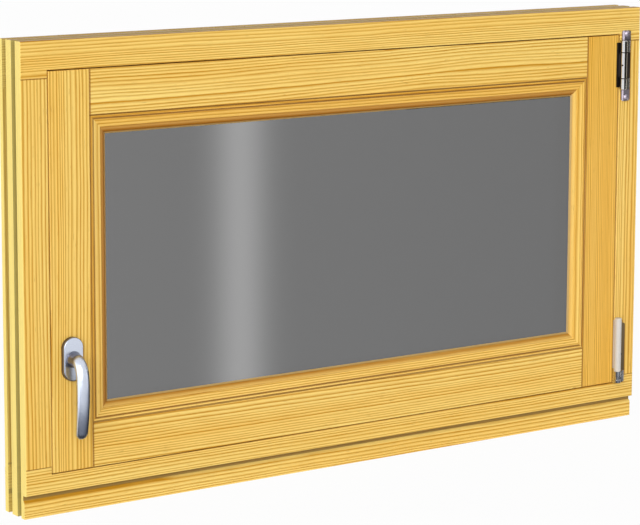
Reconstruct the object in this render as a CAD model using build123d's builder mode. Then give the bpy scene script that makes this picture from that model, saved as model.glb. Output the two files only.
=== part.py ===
from build123d import *
import os
from collections import namedtuple

os.makedirs("parts", exist_ok=True)

# Millimetres. X runs along the window, Z is up, and Y runs from the room (minus) to the open air (plus).
# The origin is the middle of the frame's bottom face. Depths are counted from the frame's room face.

# Driving sizes of the whole window
WINDOW_WIDTH = 1000
WINDOW_HEIGHT = 600
FRAME_DEPTH = 56
ROOM_FACE = -FRAME_DEPTH / 2

# Outer frame: face width, the two steps of the rebate, and the stop lip towards the open air
FRAME_FACE = 46.5
RAIL_FACE = 63
OVERLAP_STEP = 37
OVERLAP_DEPTH = 17
STOP_DEPTH = 46
STOP_WIDTH = 62

# Rounding of the timber's exposed arrises, and of the ends that meet in a joint
ARRIS = 1

# Grooves round the outer edge of the frame
WALL_GROOVE_WIDTH = 10
WALL_GROOVE_CUT = 8
WALL_GROOVE_CENTRES = (18.5, 42.4)

# Room side rebate under the bottom rail, where the window board slides in
BOARD_REBATE_HEIGHT = 30
BOARD_REBATE_CUT = 5
BOARD_GROOVE_HEIGHT = 6
BOARD_GROOVE_CUT = 8
BOARD_BEVEL = 3

# Sash: outline, thickness, overlap lip and glazing rebate
SASH_MARGIN = 38.5
SASH_BOTTOM = 55
SASH_FACE = 58
SASH_THICKNESS = 44
LIP_WIDTH = 12
LIP_THICKNESS = 15.5
GLAZING_REBATE = 23
GLAZING_LIP_START = 32

# Glazing bead: joint with the sash, fillet, quirk, sloped face and a cove down to the glass
BEAD_JOINT = 0.5
BEAD_FILLET = 3.2
BEAD_FILLET_DEPTH = 0.7
BEAD_QUIRK = 0.9
BEAD_QUIRK_DEPTH = 2.6
BEAD_SLOPE_START = (4.6, 1.1)
BEAD_SLOPE_END = (15.6, 3)
BEAD_COVE_START = (16, 4.3)
BEAD_COVE_RADIUS = 8

# Gasket that fills the space behind the sash's overlap lip
GASKET_OUTER = 1.6
GASKET_LIP_EDGE = 9
GASKET_LIP_SLANT = 0.6
GASKET_LIP_DEPTH = 18.6

# Insulating glass unit
GLASS_START = 7.5
PANE = 4
GLASS_GAP = 14
GLASS_EDGE_CLEARANCE = 3
SPACER_INSET = 4
SPACER_HEIGHT = 6.5
SEAL = 2
TAPE_WIDTH = 13
TAPE_BULGE = 1.5

# Rain rail of drawn metal in the bottom rebate
RAIN_RAIL_WALL = 1.6
RAIN_RAIL_CAP = 3
RAIL_SHELF_START = 36
RAIL_SHELF_HEIGHT = 60
RAIL_SHELF_FALL = 3
UPSTAND_GAP = 0.2
UPSTAND_TOP = 66
TROUGH_FRONT_DEPTH = 53
FRONT_WALL_TOP = 71
NOSE_DEPTH = 61
NOSE_DROP = 8
CAP_OVERLAP = 1
DRAIN_SLOT = (24, 3)
DRAIN_SLOTS = (-300, 0, 300)

# Handle: lever on an oval rosette, pointing down when the window is shut
BACKSET = 15.5
HANDLE_X = -WINDOW_WIDTH / 2 + SASH_MARGIN + LIP_WIDTH + BACKSET
HANDLE_Z = 199
ROSETTE_LENGTH = 56
ROSETTE_WIDTH = 28
ROSETTE_THICKNESS = 7
ROSETTE_CHAMFER = 1.2
NECK_RADIUS = 10.5
NECK_SEAT = 3
NECK_CLEARANCE = 0.05
SPINDLE = 7
SPINDLE_HOLE_RADIUS = 7
SPINDLE_REACH = 24
SPINDLE_HOLE_DEPTH = 28
LEVER_LENGTH = 99
GRIP_WIDTH = 17.5
GRIP_THICKNESS = 11.5

# Hinges: one upright axis just outside the sash's edge, in front of the frame's room face
HINGE_X = 464.6
HINGE_PROUD = 6.5
BARREL_RADIUS = 5
PIN_RADIUS = 2.5
PIN_CHAMFER = 0.4
HINGE_PLATE_LEFT = 466
HINGE_PLATE_WIDTH = 14.5
HINGE_PLATE_THICKNESS = 3
HOLLOW_CLEARANCE = 0.3
PLATE_CORNER = 3
BARREL_CHAMFER = 0.6
BLIND_END = 6
WEB_START = 0.5
WEB_EDGE = 1.5
WEB_INSET = 0.5
WING_THICKNESS = 1.1
WING_REACH = 13
STAY_PLATE_BOTTOM = 467
STAY_PLATE_TOP = 568
STAY_KNUCKLES = ((484, 499.8), (537.2, 554))
STAY_ARM = (500, 537)
STAY_WING = (502, 535)
CORNER_PLATE = (68.5, 142)
CORNER_BARREL = (72, 151)
CORNER_WING = (76, 147)
CORNER_SOCKET = (55.5, 71.8)
SOCKET_WAIST = (59.5, 64.5)
SOCKET_WAIST_RADIUS = 4.1
KNOB = (11, 5)
KNOB_X = 7

Outline = namedtuple("Outline", "half_width bottom top")
FRAME = Outline(WINDOW_WIDTH / 2, 0, WINDOW_HEIGHT)
SASH = Outline(WINDOW_WIDTH / 2 - SASH_MARGIN, SASH_BOTTOM, WINDOW_HEIGHT - SASH_MARGIN)
BEADS = Outline(SASH.half_width - SASH_FACE, SASH.bottom + SASH_FACE, SASH.top - SASH_FACE)
UNIT = Outline(
    BEADS.half_width - GLASS_EDGE_CLEARANCE,
    BEADS.bottom + GLASS_EDGE_CLEARANCE,
    BEADS.top - GLASS_EDGE_CLEARANCE,
)
INWARD = {"left": (1, 0), "right": (-1, 0), "bottom": (0, 1), "top": (0, -1)}


def side_plane(outline, side):
    """Plane across one side of an outline: x points inward, y towards the open air, z along the side."""
    across, up = INWARD[side]
    middle_height = (outline.bottom + outline.top) / 2
    height = {1: outline.bottom, -1: outline.top, 0: middle_height}[up]
    inward = Vector(across, 0, up)
    origin = Vector(-across * outline.half_width, ROOM_FACE, height)
    return Plane(origin=origin, x_dir=inward, z_dir=inward.cross(Vector(0, 1, 0)))


def half_run(outline, side):
    """Half the length of one side of an outline."""
    upright = INWARD[side][0] != 0
    return (outline.top - outline.bottom) / 2 if upright else outline.half_width


def finish(part, name):
    """Name a piece and write it."""
    part.label = name
    export_step(part, f"parts/{name}.step")


def soften(part, faces):
    """Round the arrises of the part's end-most faces along Y: 0 is the room face, -1 the outer face."""
    for number in faces:
        face = part.faces().sort_by(Axis.Y)[number]
        fillet(face.edges(), ARRIS)


def mitred_bar(outline, side, draw_section):
    """Bar of a constant section along one side of an outline, cut at 45 degrees at both corners."""
    plane = side_plane(outline, side)
    half = half_run(outline, side)
    with BuildPart() as bar:
        with BuildSketch(plane):
            with BuildLine():
                draw_section()
            make_face()
        extrude(amount=half, both=True)
        for end in (1, -1):
            corner = plane.origin + plane.z_dir * (end * half)
            split(bisect_by=Plane(origin=corner, z_dir=plane.x_dir + plane.z_dir * end), keep=Keep.BOTTOM)
    return bar.part


# Outer frame

def head_blank():
    Polyline(
        (0, 0), (FRAME_FACE, 0), (FRAME_FACE, STOP_DEPTH), (STOP_WIDTH, STOP_DEPTH),
        (STOP_WIDTH, FRAME_DEPTH), (0, FRAME_DEPTH), close=True,
    )


def rail_blank():
    Polyline(
        (0, 0), (RAIL_FACE, 0), (RAIL_FACE, RAIL_SHELF_START), (RAIL_SHELF_HEIGHT, RAIL_SHELF_START),
        (RAIL_SHELF_HEIGHT - RAIL_SHELF_FALL, FRAME_DEPTH), (0, FRAME_DEPTH), close=True,
    )


def jamb_section():
    Polyline(
        (0, 0), (OVERLAP_STEP, 0), (OVERLAP_STEP, OVERLAP_DEPTH), (FRAME_FACE, OVERLAP_DEPTH),
        (FRAME_FACE, STOP_DEPTH), (STOP_WIDTH, STOP_DEPTH), (STOP_WIDTH, FRAME_DEPTH),
        (0, FRAME_DEPTH), close=True,
    )


def cross_member(side, draw_blank, step_start):
    """Frame member that runs full width, with the sash's overlap step milled between the jambs only."""
    plane = side_plane(FRAME, side)
    step_width = {"top": FRAME_FACE, "bottom": RAIL_FACE}[side] - step_start
    with BuildPart() as member:
        with BuildSketch(plane):
            with BuildLine():
                draw_blank()
            make_face()
        extrude(amount=FRAME.half_width, both=True)
        with BuildSketch(plane):
            with Locations((step_start, 0)):
                Rectangle(step_width, OVERLAP_DEPTH, align=(Align.MIN, Align.MIN))
        extrude(amount=FRAME.half_width - OVERLAP_STEP, both=True, mode=Mode.SUBTRACT)
    return member.part


def wall_grooves(side):
    """Cut the two grooves of one outer side through the part in work."""
    with BuildSketch(side_plane(FRAME, side)) as grooves:
        with Locations(*[(WALL_GROOVE_CUT / 2, depth) for depth in WALL_GROOVE_CENTRES]):
            Rectangle(WALL_GROOVE_CUT, WALL_GROOVE_WIDTH)
    extrude(grooves.sketch, amount=half_run(FRAME, side), both=True, mode=Mode.SUBTRACT)


with BuildPart() as frame_head:
    add(cross_member("top", head_blank, OVERLAP_STEP))
    soften(frame_head.part, (0, -1))
    for side in ("top", "left", "right"):
        wall_grooves(side)
finish(frame_head.part, "frame_head")

with BuildPart() as frame_bottom_rail:
    add(cross_member("bottom", rail_blank, SASH_BOTTOM - SASH_MARGIN + OVERLAP_STEP))
    with BuildSketch(side_plane(FRAME, "bottom")):
        with BuildLine():
            groove_floor = BOARD_REBATE_HEIGHT - BOARD_GROOVE_HEIGHT
            Polyline(
                (0, 0), (BOARD_REBATE_HEIGHT, 0), (BOARD_REBATE_HEIGHT, BOARD_GROOVE_CUT),
                (groove_floor, BOARD_GROOVE_CUT), (groove_floor - BOARD_BEVEL, BOARD_REBATE_CUT),
                (0, BOARD_REBATE_CUT), close=True,
            )
        make_face()
    extrude(amount=FRAME.half_width, both=True, mode=Mode.SUBTRACT)
    soften(frame_bottom_rail.part, (0,))
    for side in ("left", "right"):
        wall_grooves(side)
finish(frame_bottom_rail.part, "frame_bottom_rail")

for side in ("left", "right"):
    with BuildPart() as frame_jamb:
        with BuildSketch(side_plane(FRAME, side)):
            with BuildLine():
                jamb_section()
            make_face()
        extrude(amount=half_run(FRAME, side), both=True)
        # The ends are coped over the head and the bottom rail
        for end, draw_blank in (("top", head_blank), ("bottom", rail_blank)):
            with BuildSketch(side_plane(FRAME, end)):
                with BuildLine():
                    draw_blank()
                make_face()
            extrude(amount=FRAME.half_width, both=True, mode=Mode.SUBTRACT)
        soften(frame_jamb.part, (0, -1))
        wall_grooves(side)
    finish(frame_jamb.part, f"frame_jamb_{side}")


# Sash: the stiles run full height and the rails butt between them

def sash_section():
    Polyline(
        (0, 0), (SASH_FACE, 0), (SASH_FACE, GLAZING_LIP_START),
        (SASH_FACE + GLAZING_REBATE, GLAZING_LIP_START), (SASH_FACE + GLAZING_REBATE, SASH_THICKNESS),
        (LIP_WIDTH, SASH_THICKNESS), (LIP_WIDTH, LIP_THICKNESS), (0, LIP_THICKNESS), close=True,
    )


def sash_bar(side):
    """Sash member of the full section, as long as its side of the sash."""
    with BuildPart() as bar:
        with BuildSketch(side_plane(SASH, side)):
            with BuildLine():
                sash_section()
            make_face()
        extrude(amount=half_run(SASH, side), both=True)
    return bar.part


for side in ("left", "right"):
    with BuildPart() as sash_stile:
        add(sash_bar(side))
        for end in ("top", "bottom"):
            with BuildSketch(side_plane(SASH, end)):
                with Locations((0, LIP_THICKNESS)):
                    Rectangle(LIP_WIDTH, SASH_THICKNESS, align=(Align.MIN, Align.MIN))
            extrude(amount=SASH.half_width, both=True, mode=Mode.SUBTRACT)
        soften(sash_stile.part, (0, -1))
        if side == "left":
            # Hole that the handle's square spindle turns in
            with Locations(Plane(origin=(HANDLE_X, ROOM_FACE, HANDLE_Z), z_dir=(0, -1, 0))):
                Hole(SPINDLE_HOLE_RADIUS, depth=SPINDLE_HOLE_DEPTH)
    finish(sash_stile.part, f"sash_stile_{side}")

for side in ("top", "bottom"):
    with BuildPart() as sash_rail:
        add(sash_bar(side))
        for end in ("left", "right"):
            # Shoulders: the whole stile width, and further in round the stile's glazing lip
            with BuildSketch(side_plane(SASH, end)):
                Rectangle(SASH_FACE, SASH_THICKNESS, align=(Align.MIN, Align.MIN))
                with Locations((0, GLAZING_LIP_START)):
                    Rectangle(
                        SASH_FACE + GLAZING_REBATE, SASH_THICKNESS - GLAZING_LIP_START,
                        align=(Align.MIN, Align.MIN),
                    )
            extrude(amount=SASH.top, both=True, mode=Mode.SUBTRACT)
        soften(sash_rail.part, (0, -1))
    finish(sash_rail.part, f"sash_rail_{side}")


# Gasket between the overlap lip and the frame's step

def gasket_section():
    Polyline(
        (GASKET_OUTER, LIP_THICKNESS), (LIP_WIDTH, LIP_THICKNESS), (LIP_WIDTH, GASKET_LIP_DEPTH),
        (GASKET_LIP_EDGE, GASKET_LIP_DEPTH), (GASKET_LIP_EDGE - GASKET_LIP_SLANT, OVERLAP_DEPTH),
        (GASKET_OUTER, OVERLAP_DEPTH), close=True,
    )


# Glazing bead

def bead_section():
    quirk = BEAD_JOINT + BEAD_FILLET
    outer = Polyline(
        (BEAD_JOINT, GLASS_START), (BEAD_JOINT, BEAD_FILLET_DEPTH), (quirk, BEAD_FILLET_DEPTH),
        (quirk, BEAD_QUIRK_DEPTH), (quirk + BEAD_QUIRK, BEAD_QUIRK_DEPTH), BEAD_SLOPE_START,
        BEAD_SLOPE_END, BEAD_COVE_START,
    )
    cove = RadiusArc(outer @ 1, (GLAZING_REBATE, GLASS_START), -BEAD_COVE_RADIUS)
    Line(cove @ 1, outer @ 0)


# Wedge of glazing sealant in front of the bead's foot, and the flat tape behind the outer pane

def inner_seal_section():
    Polyline(
        (GLAZING_REBATE, GLASS_START), (GLAZING_REBATE, GLASS_START - SEAL),
        (GLAZING_REBATE + SEAL, GLASS_START), close=True,
    )


def outer_seal_section():
    outer_pane_back = GLASS_START + 2 * PANE + GLASS_GAP
    Polyline(
        (GLAZING_REBATE - TAPE_WIDTH, outer_pane_back), (GLAZING_REBATE + TAPE_BULGE, outer_pane_back),
        (GLAZING_REBATE, GLAZING_LIP_START), (GLAZING_REBATE - TAPE_WIDTH, GLAZING_LIP_START),
        close=True,
    )


# Spacer bar that keeps the two panes apart

def spacer_section():
    start = GLASS_EDGE_CLEARANCE + SPACER_INSET
    Polyline(
        (start, GLASS_START + PANE), (start + SPACER_HEIGHT, GLASS_START + PANE),
        (start + SPACER_HEIGHT, GLASS_START + PANE + GLASS_GAP),
        (start, GLASS_START + PANE + GLASS_GAP), close=True,
    )


MITRED = (
    ("sash_gasket", SASH, gasket_section),
    ("bead", BEADS, bead_section),
    ("inner_seal", BEADS, inner_seal_section),
    ("outer_seal", BEADS, outer_seal_section),
    ("spacer", BEADS, spacer_section),
)
for name, outline, draw_section in MITRED:
    for side in INWARD:
        finish(mitred_bar(outline, side, draw_section), f"{name}_{side}")

for name, start in (("glass_inner", GLASS_START), ("glass_outer", GLASS_START + PANE + GLASS_GAP)):
    with BuildPart() as pane:
        with BuildSketch(Plane.XZ.offset(-ROOM_FACE - start)):
            with Locations((0, (UNIT.bottom + UNIT.top) / 2)):
                Rectangle(2 * UNIT.half_width, UNIT.top - UNIT.bottom)
        extrude(amount=-PANE)
    finish(pane.part, name)


# Rain rail: a trough on the bottom rail's shelf, with a drip nose in front

SHELF_MIDDLE = RAIN_RAIL_WALL / 2
TROUGH_BACK = (RAIL_SHELF_HEIGHT + SHELF_MIDDLE, RAIL_SHELF_START + SHELF_MIDDLE + UPSTAND_GAP)


def shelf_height(depth):
    """Middle of the rail's base above the shelf of the bottom rail, which falls outward."""
    fall = (depth - RAIL_SHELF_START) * RAIL_SHELF_FALL / (FRAME_DEPTH - RAIL_SHELF_START)
    return RAIL_SHELF_HEIGHT - fall + SHELF_MIDDLE


rain_rail_end = BEADS.half_width + (SASH_FACE + SASH_MARGIN - STOP_WIDTH) - RAIN_RAIL_CAP
with BuildPart() as rain_rail:
    with BuildSketch(side_plane(FRAME, "bottom")) as rail_section:
        with BuildLine():
            Polyline(
                (UPSTAND_TOP, TROUGH_BACK[1]), TROUGH_BACK,
                (shelf_height(NOSE_DEPTH), NOSE_DEPTH), (shelf_height(NOSE_DEPTH) - NOSE_DROP, NOSE_DEPTH),
            )
        trace(line_width=RAIN_RAIL_WALL)
        with BuildLine():
            Line(
                (shelf_height(TROUGH_FRONT_DEPTH), TROUGH_FRONT_DEPTH),
                (FRONT_WALL_TOP, TROUGH_FRONT_DEPTH),
            )
        trace(line_width=RAIN_RAIL_WALL)
    extrude(amount=rain_rail_end, both=True)
    # Slots at the foot of the trough's front wall, where the rain drains out
    slot_height = shelf_height(TROUGH_FRONT_DEPTH) + SHELF_MIDDLE
    with BuildSketch(Plane.XZ.offset(-ROOM_FACE - FRAME_DEPTH)):
        with Locations(*[(place, slot_height + DRAIN_SLOT[1] / 2) for place in DRAIN_SLOTS]):
            Rectangle(*DRAIN_SLOT)
    extrude(amount=FRAME_DEPTH - SASH_THICKNESS, mode=Mode.SUBTRACT)
finish(rain_rail.part, "rain_rail")

for side in ("left", "right"):
    across = INWARD[side][0]
    with BuildPart() as end_cap:
        end = Vector(-across * rain_rail_end, ROOM_FACE, 0)
        with BuildSketch(Plane(origin=end, x_dir=(0, 0, 1), z_dir=(-1, 0, 0))):
            with BuildLine():
                Polyline(
                    (RAIL_SHELF_HEIGHT, RAIL_SHELF_START + UPSTAND_GAP),
                    (UPSTAND_TOP, RAIL_SHELF_START + UPSTAND_GAP),
                    (UPSTAND_TOP, SASH_THICKNESS + CAP_OVERLAP),
                    (FRONT_WALL_TOP, STOP_DEPTH + CAP_OVERLAP),
                    (FRONT_WALL_TOP, TROUGH_FRONT_DEPTH + CAP_OVERLAP),
                    (shelf_height(NOSE_DEPTH), NOSE_DEPTH + CAP_OVERLAP),
                    (shelf_height(NOSE_DEPTH) - NOSE_DROP, NOSE_DEPTH + CAP_OVERLAP),
                    (shelf_height(FRAME_DEPTH) - SHELF_MIDDLE, FRAME_DEPTH), close=True,
                )
            make_face()
        extrude(amount=across * RAIN_RAIL_CAP)
    finish(end_cap.part, f"rain_rail_cap_{side}")


# Handle

def handle_plane(proud):
    """Upright plane in front of the sash face, facing the room, centred on the handle's axis."""
    return Plane(origin=(HANDLE_X, ROOM_FACE - proud, HANDLE_Z), x_dir=(1, 0, 0), z_dir=(0, -1, 0))


with BuildPart() as handle_rosette:
    with BuildSketch(handle_plane(0)):
        SlotOverall(ROSETTE_LENGTH, ROSETTE_WIDTH, rotation=90)
    extrude(amount=ROSETTE_THICKNESS)
    chamfer(handle_rosette.faces().sort_by(Axis.Y)[0].edges(), ROSETTE_CHAMFER)
    with BuildSketch(handle_plane(ROSETTE_THICKNESS - NECK_SEAT)):
        Circle(NECK_RADIUS + NECK_CLEARANCE)
    extrude(amount=NECK_SEAT, mode=Mode.SUBTRACT)
    with BuildSketch(handle_plane(0)):
        Circle(SPINDLE_HOLE_RADIUS)
    extrude(amount=ROSETTE_THICKNESS, mode=Mode.SUBTRACT)
finish(handle_rosette.part, "handle_rosette")

with BuildPart() as handle_spindle:
    with BuildSketch(handle_plane(-SPINDLE_REACH)):
        Rectangle(SPINDLE, SPINDLE)
    extrude(amount=SPINDLE_REACH + ROSETTE_THICKNESS - NECK_SEAT)
finish(handle_spindle.part, "handle_spindle")

# The lever leaves the rosette as a round neck, turns down and ends in a bowed oval grip.
# Each station: distance out from the sash face, drop below the axis, lean off the upright,
# width and thickness.
SEAT_LEVEL = ROSETTE_THICKNESS - NECK_SEAT
GRIP_STATIONS = (
    (12, 0.3, 88, 18.4, 18.6),
    (18, 1.5, 72, 17, 17),
    (24, 6, 42, 16.6, 15),
    (28, 14, 20, 17, 13.4),
    (30, 28, 6, GRIP_WIDTH, 12.2),
    (30.2, 45, -3, GRIP_WIDTH, GRIP_THICKNESS),
    (28.8, 64, -7, GRIP_WIDTH - 0.4, GRIP_THICKNESS),
    (26.6, 82, -9.5, GRIP_WIDTH - 0.8, GRIP_THICKNESS - 0.4),
    (24.6, LEVER_LENGTH - 4, -11, GRIP_WIDTH - 1.6, GRIP_THICKNESS - 0.8),
    (24, LEVER_LENGTH, -11, GRIP_WIDTH / 2, GRIP_THICKNESS / 2),
)


def grip_plane(proud, drop, lean):
    """Plane across the lever: its normal runs down the lever, leaning out from the wall by lean degrees."""
    along = Vector(0, 0, -1).rotate(Axis.X, -lean)
    return Plane(origin=(HANDLE_X, ROOM_FACE - proud, HANDLE_Z - drop), x_dir=(1, 0, 0), z_dir=along)


with BuildPart() as handle_lever:
    with BuildSketch(handle_plane(SEAT_LEVEL)):
        Circle(NECK_RADIUS)
    extrude(amount=NECK_SEAT)
    with BuildSketch(handle_plane(ROSETTE_THICKNESS)):
        Circle(NECK_RADIUS)
    for proud, drop, lean, width, thickness in GRIP_STATIONS:
        with BuildSketch(grip_plane(proud, drop, lean)):
            Ellipse(width / 2, thickness / 2)
    loft(ruled=True)
finish(handle_lever.part, "handle_lever")


# Hinges

def turned(profile):
    """Solid turned round the hinge axis; the profile's points are (radius, height)."""
    axis_foot = Vector(HINGE_X, ROOM_FACE - HINGE_PROUD, 0)
    with BuildSketch(Plane(origin=axis_foot, x_dir=(1, 0, 0), z_dir=(0, -1, 0))) as half:
        with BuildLine():
            Polyline(*profile, close=True)
        make_face()
    revolve(half.sketch, axis=Axis(axis_foot, (0, 0, 1)))


def barrel(part_range, radius=BARREL_RADIUS, chamfer_size=BARREL_CHAMFER):
    """Upright bar on the hinge axis between two heights, chamfered at both ends."""
    low, high = part_range
    inner = radius - chamfer_size
    turned((
        (0, low), (inner, low), (radius, low + chamfer_size),
        (radius, high - chamfer_size), (inner, high), (0, high),
    ))


def bore(part_range):
    """Pin hole on the hinge axis, through the part in work."""
    low, high = part_range
    with BuildSketch(Plane.XY.offset(low)) as circle:
        with Locations((HINGE_X, ROOM_FACE - HINGE_PROUD)):
            Circle(PIN_RADIUS)
    extrude(circle.sketch, amount=high - low, mode=Mode.SUBTRACT)


def plate(part_range):
    """Screwed plate on the frame's room face, with rounded ends and a hollow edge behind the barrel."""
    low, high = part_range
    with BuildSketch(Plane.XZ.offset(-ROOM_FACE)) as outline:
        with Locations((HINGE_PLATE_LEFT + HINGE_PLATE_WIDTH / 2, (low + high) / 2)):
            RectangleRounded(HINGE_PLATE_WIDTH, high - low, PLATE_CORNER)
    extrude(outline.sketch, amount=HINGE_PLATE_THICKNESS)
    with BuildSketch(Plane.XY.offset(low)) as hollow:
        with Locations((HINGE_X, ROOM_FACE - HINGE_PROUD)):
            Circle(BARREL_RADIUS + HOLLOW_CLEARANCE)
    extrude(hollow.sketch, amount=high - low, mode=Mode.SUBTRACT)


def web(part_range):
    """Web from the barrel to the plate on the frame, in plan a wedge that closes on the plate."""
    low, high = part_range
    plate_front = ROOM_FACE - HINGE_PLATE_THICKNESS
    plate_right = HINGE_PLATE_LEFT + HINGE_PLATE_WIDTH
    with BuildSketch(Plane.XY.offset(low)) as wedge:
        with BuildLine():
            Polyline(
                (HINGE_X, ROOM_FACE - HINGE_PROUD - BARREL_RADIUS + WEB_START),
                (plate_right - WEB_EDGE, plate_front - WEB_EDGE),
                (plate_right - WEB_INSET, plate_front),
                (HINGE_X, plate_front), close=True,
            )
        make_face()
    extrude(wedge.sketch, amount=high - low)


def wing(part_range):
    """Thin wing from the barrel back into the gap between sash and frame, fixed to the sash's edge."""
    low, high = part_range
    with BuildSketch(Plane.XY.offset(low)) as strip:
        with Locations((SASH.half_width, ROOM_FACE - HINGE_PROUD)):
            Rectangle(WING_THICKNESS, HINGE_PROUD + WING_REACH, align=(Align.MIN, Align.MIN))
    extrude(strip.sketch, amount=high - low)


with BuildPart() as stay_hinge_plate:
    plate((STAY_PLATE_BOTTOM, STAY_PLATE_TOP))
finish(stay_hinge_plate.part, "stay_hinge_plate")

for name, part_range in zip(("lower", "upper"), STAY_KNUCKLES):
    with BuildPart() as knuckle:
        barrel(part_range)
        web(part_range)
        bore(part_range)
    finish(knuckle.part, f"stay_hinge_{name}_knuckle")

with BuildPart() as stay_arm:
    barrel(STAY_ARM)
    wing(STAY_WING)
    bore(STAY_ARM)
finish(stay_arm.part, "stay_hinge_arm")

with BuildPart() as stay_pin:
    barrel((STAY_KNUCKLES[0][0], STAY_KNUCKLES[1][1]), PIN_RADIUS, PIN_CHAMFER)
finish(stay_pin.part, "stay_hinge_pin")

with BuildPart() as corner_plate:
    plate(CORNER_PLATE)
    # Knob that the plate hangs on, standing up from its top edge
    with BuildSketch(Plane.XZ.offset(-ROOM_FACE)) as knob:
        with Locations((HINGE_PLATE_LEFT + KNOB_X, CORNER_PLATE[1])):
            SlotOverall(*KNOB, rotation=90)
    extrude(knob.sketch, amount=HINGE_PLATE_THICKNESS)
finish(corner_plate.part, "corner_hinge_plate")

with BuildPart() as corner_socket:
    low, high = CORNER_SOCKET
    turned((
        (0, low), (BARREL_RADIUS, low), (BARREL_RADIUS, SOCKET_WAIST[0]),
        (SOCKET_WAIST_RADIUS, SOCKET_WAIST[0]), (SOCKET_WAIST_RADIUS, SOCKET_WAIST[1]),
        (BARREL_RADIUS, SOCKET_WAIST[1]), (BARREL_RADIUS, high), (0, high),
    ))
    web(CORNER_SOCKET)
    bore((CORNER_SOCKET[0] + BLIND_END, CORNER_SOCKET[1]))
finish(corner_socket.part, "corner_hinge_socket")

with BuildPart() as corner_band:
    barrel(CORNER_BARREL)
    wing(CORNER_WING)
    bore((CORNER_BARREL[0], CORNER_BARREL[1] - BLIND_END))
finish(corner_band.part, "corner_hinge_band")

with BuildPart() as corner_pin:
    barrel((CORNER_SOCKET[0] + BLIND_END, CORNER_BARREL[1] - BLIND_END), PIN_RADIUS, PIN_CHAMFER)
finish(corner_pin.part, "corner_hinge_pin")
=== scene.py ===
"""Looks, studio and camera of a tilt and turn window in lacquered pine.

Lengths are in metres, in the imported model's frame: X runs along the window, Z is up, and Y runs from
the room (minus) to the open air (plus). The window stands on the floor at Z = 0.
"""

import logging
import math
from dataclasses import dataclass
from enum import Enum

import bmesh
import bpy
import numpy as np
from bpy.types import ColorRamp, Material, NodeSocket, NodeTree, Object
from mathutils import Euler, Matrix, Vector


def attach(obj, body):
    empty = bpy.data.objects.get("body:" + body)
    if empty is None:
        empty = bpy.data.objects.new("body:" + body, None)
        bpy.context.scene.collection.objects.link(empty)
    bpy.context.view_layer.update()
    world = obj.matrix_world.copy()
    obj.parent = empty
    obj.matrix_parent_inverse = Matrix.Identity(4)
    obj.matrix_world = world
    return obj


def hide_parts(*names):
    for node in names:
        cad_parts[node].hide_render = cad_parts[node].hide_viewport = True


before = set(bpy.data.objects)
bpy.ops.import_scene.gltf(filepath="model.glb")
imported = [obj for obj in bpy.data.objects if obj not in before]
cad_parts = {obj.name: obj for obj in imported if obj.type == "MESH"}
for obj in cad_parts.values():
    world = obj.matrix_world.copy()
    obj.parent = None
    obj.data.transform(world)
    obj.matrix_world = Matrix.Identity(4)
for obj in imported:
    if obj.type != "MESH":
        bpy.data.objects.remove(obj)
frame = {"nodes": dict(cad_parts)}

Pair = tuple[float, float]
Triple = tuple[float, float, float]
Nodes = dict[str, Object]

LOG = logging.getLogger("window")
MILLIMETRE = 0.001
# The Y of the frame's and the sash's faces towards the room.
ROOM_FACE = -0.028
# A gap that keeps two surfaces from lying in one place.
HAIR = 0.0001
# Edges that turn more than this are drawn sharp.
SMOOTH_ANGLE = math.radians(38)
# A stain starts to show where a face's normal has this much of its facing, and shows fully at the second.
FACING_RANGE = (0.25, 0.75)
WHITE = "#FFFFFF"
# A Mix node that mixes colours, which go into its sockets 6 and 7 and come out of its output 2.
COLOUR_MIX = {"data_type": "RGBA", "output": 2}


class Body(Enum):
    """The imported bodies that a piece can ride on."""

    WINDOW = "window"
    HANDLE = "handle"


class Grain(Enum):
    """The way a board's fibres run, as the turn about Y that brings them onto local X."""

    ALONG = 0.0
    UPRIGHT = math.pi / 2


def linear(colour: str) -> tuple[float, float, float, float]:
    """Turn an sRGB hex colour into the linear RGBA that shader sockets take.

    Args:
        colour: a colour such as "#FFD070".

    Returns:
        Linear red, green and blue, and an alpha of one.
    """
    channels = np.array([int(colour[i:i + 2], 16) for i in (1, 3, 5)]) / 255
    curve = np.where(channels <= 0.04045, channels / 12.92, ((channels + 0.055) / 1.055) ** 2.4)
    return (*curve.tolist(), 1.0)


def add(
    tree: NodeTree,
    kind: str,
    inputs: dict[str | int, object] | None = None,
    output: str | int = 0,
    **settings: object,
) -> NodeSocket | None:
    """Add one node to a tree, with its settings, values and links.

    Args:
        tree: the tree of a material or the world.
        kind: the node's type name.
        inputs: for a socket's name or number, the value to set or the output socket to link.
        output: the name or number of the output to return.
        **settings: the node's own properties.

    Returns:
        One output socket of the new node, or None from a node that has none.
    """
    node = tree.nodes.new(kind)
    for name, value in settings.items():
        setattr(node, name, value)
    for socket, value in (inputs or {}).items():
        if isinstance(value, NodeSocket):
            tree.links.new(value, node.inputs[socket])
        else:
            node.inputs[socket].default_value = value
    return node.outputs[output] if node.outputs else None


def ranges(source: Pair = (0.0, 1.0), target: Pair = (0.0, 1.0)) -> dict[str, float]:
    """The sockets of a Map Range node, from the range that goes in and the one that comes out."""
    return dict(zip(("From Min", "From Max", "To Min", "To Max"), (*source, *target)))


def new_material(name: str) -> tuple[Material, NodeTree]:
    """Make an empty node material.

    Args:
        name: the material's name.

    Returns:
        The material and its node tree.
    """
    material = bpy.data.materials.new(name)
    material.use_nodes = True
    material.node_tree.nodes.clear()
    return material, material.node_tree


# Surfaces: each is a grid of points whose columns run round the piece and close on the first.

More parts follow.
